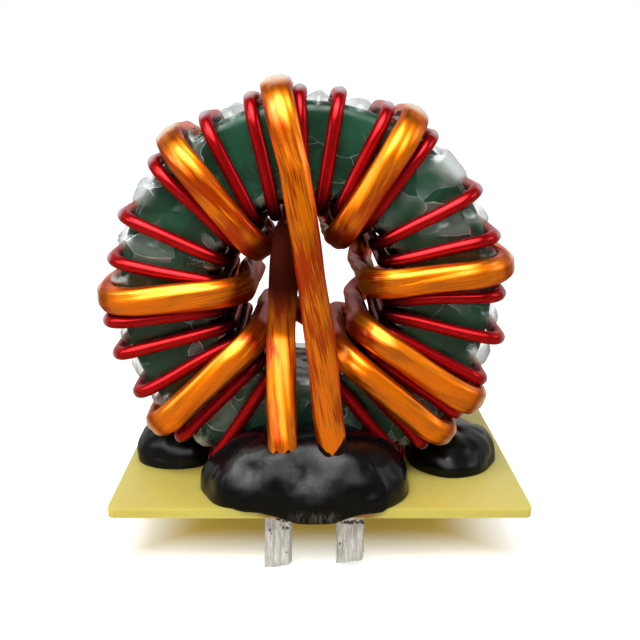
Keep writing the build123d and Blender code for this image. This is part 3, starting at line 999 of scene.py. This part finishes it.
def add_mound(name, node, height, boxiness, lumps, outline):
    """One mound of silicone on the board, with its lumps, dimples and the drip in front."""
    loop = smooth_loop(outline, mound_columns)
    middle = loop.mean(axis=0)
    climb = np.linspace(0, pi / 2, mound_rows)[:, None]
    share = np.cos(climb) ** (2 / boxiness)
    rise = np.sin(climb) ** (2 / boxiness)
    points = np.empty((mound_rows, mound_columns, 3))
    points[:, :, :2] = middle + (loop - middle)[None] * share[:, :, None]
    over_edge = np.clip((board_low.y - loop[:, 1]) / (0.3 * mm), 0, 1)
    drop = 0.25 * mm + drip_drop * np.exp(-((loop[:, 0] - drip_x) / drip_half_width) ** 4)
    foot = board_top - over_edge * drop
    points[:, :, 2] = foot + (board_top + height * mm - foot) * rise
    normals = grid_normals(points)
    for row in range(mound_rows):
        for column in range(mound_columns):
            spot = Vector(points[row, column])
            out = noise.noise(spot / broad_lumps + Vector((height, 0, 0))) * lumps * mm
            out += noise.noise(spot / fine_lumps) * 0.10 * mm
            for dimple_place, dimple_reach in dimples:
                away = (spot - dimple_place).length / dimple_reach
                out -= dimple_depth * np.exp(-away ** 2 * 1.6)
            out *= min(1, row / 5)
            points[row, column] += normals[row, column] * out
    points = points.reshape(-1, 3)
    points = np.clip(points, np.array(cad_box[0]), np.array(cad_box[1]))
    faces = tube_faces(mound_rows, mound_columns)
    add_piece(name, points, faces, silicone_black, "silicone", node)


for mound in mounds:
    add_mound(*mound)


# Tinned ends
# The litz leads' strands and the red wire's two ends, stripped and dipped in solder just
# below the board. The flat ones are snipped aslant, and show the strands they are made of.
pin_length, pin_short = 7.2 * mm, 0.5 * mm
tinned_width, tinned_thickness, tinned_inset = 3.5 * mm, 1.8 * mm, 0.14 * mm
tinned_lump, tinned_slant, tinned_tear = 0.16 * mm, 0.55 * mm, 0.5 * mm
strand_count, strand_relief, neck_share = 13, 0.05 * mm, 0.3
dipped_radius, dipped_lump, tip_share = 0.92 * mm, 0.06 * mm, 0.07
tin_columns, tin_rows, dipped_columns = 96, 60, 40
tin_dark, tin_bright = (0.42, 0.41, 0.39), (0.84, 0.83, 0.79)
tin_patch_dark = (0.035, 0.022, 0.018)
tin = new_finish("tinned_strands")
tin_place = tin.place()
tin_streak = tin.grain(tin.stretched(tin_place, (1, 1, 0.12)), 2600, 3, 0.65)
tin_cloud = tin.grain(tin_place, 700, 3)
_, _, tin_z = tin.split(tin_place)
tin_near_board = tin.between(tin_z, -2.6 * mm, -0.2 * mm)
# Dark patches on the tin, more of them towards the board
tin_dark_patches = tin.between(tin_cloud * 0.8 + tin_streak * 0.2 + tin_near_board * 0.12, 0.61, 0.67)
tin_grey = tin.mix(tin.between(tin_streak, 0.3, 0.7), tin_dark, tin_bright)
tin_skin = tin.skin(
    Base_Color=tin.mix(tin_dark_patches, tin_grey, tin_patch_dark),
    Metallic=0.20 - 0.20 * tin_dark_patches,
    Roughness=0.40 + 0.3 * tin_cloud,
    Normal=tin.relief(tin_streak, 0.06 * mm, 0.8),
)


def add_flat_end(name, node, place_x, length, seed):
    """A flat litz end: vertical strands run together with solder, its foot torn aslant."""
    turn = np.linspace(0, 2 * pi, tin_columns, endpoint=False)
    reach = (np.abs(np.cos(turn)) ** 4 + np.abs(np.sin(turn)) ** 4) ** -0.25
    ridge = np.abs(np.sin(turn * strand_count + np.sin(turn * 3))) * strand_relief
    points = np.empty((tin_rows, tin_columns, 3))
    for row in range(tin_rows):
        share = row / (tin_rows - 1)
        neck = smooth_step(share, 0, neck_share)
        thickness = litz_thickness + (tinned_thickness - litz_thickness) * neck
        for column in range(tin_columns):
            lump = noise.noise(Vector((turn[column] * 2.2, share * 4.5, seed))) * tinned_lump
            half_wide = tinned_width / 2 - tinned_lump + ridge[column] + lump
            half_thick = thickness / 2 - tinned_inset + ridge[column] + lump
            x = half_wide * reach[column] * cos(turn[column])
            y = half_thick * reach[column] * sin(turn[column])
            tear = abs(noise.noise(Vector((turn[column] * 3.1, seed, 4.0)))) * tinned_tear
            foot = (x / tinned_width + 0.5) * tinned_slant + tear - length
            points[row, column] = (place_x + x, pin_y + y, foot * share)
    faces = tube_faces(tin_rows, tin_columns, flipped=True)
    add_piece(name, points.reshape(-1, 3), faces, tin_skin, "solder", node)


def add_round_end(name, node, place_x, seed):
    """A red wire's end under the board: a round dipped tip with a lumpy solder skin."""
    turn = np.linspace(0, 2 * pi, dipped_columns, endpoint=False)
    points = np.empty((tin_rows, dipped_columns, 3))
    for row in range(tin_rows):
        share = row / (tin_rows - 1)
        tip = max(0.0, (share + tip_share - 1) / tip_share)
        radius = dipped_radius * (1 - tip ** 2.2 * 0.75) - dipped_lump / 2
        for column in range(dipped_columns):
            spot = Vector((cos(turn[column]), sin(turn[column]), share * 5 + seed))
            r = radius + noise.noise(spot) * dipped_lump
            points[row, column] = (
                place_x + r * cos(turn[column]), red_foot_y + r * sin(turn[column]),
                -pin_length * share,
            )
    faces = tube_faces(tin_rows, dipped_columns, flipped=True)
    add_piece(name, points.reshape(-1, 3), faces, tin_skin, "solder", node)


add_flat_end("tinned_front_left", "tinned_end_front_left", pin_left_x, pin_length, 1.3)
add_flat_end(
    "tinned_front_right", "tinned_end_front_right", pin_right_x, pin_length - pin_short, 7.7
)
add_round_end("tinned_rear_left", "tinned_end_rear_left", red_foot_x[0], 3.0)
add_round_end("tinned_rear_right", "tinned_end_rear_right", red_foot_x[1], 9.0)
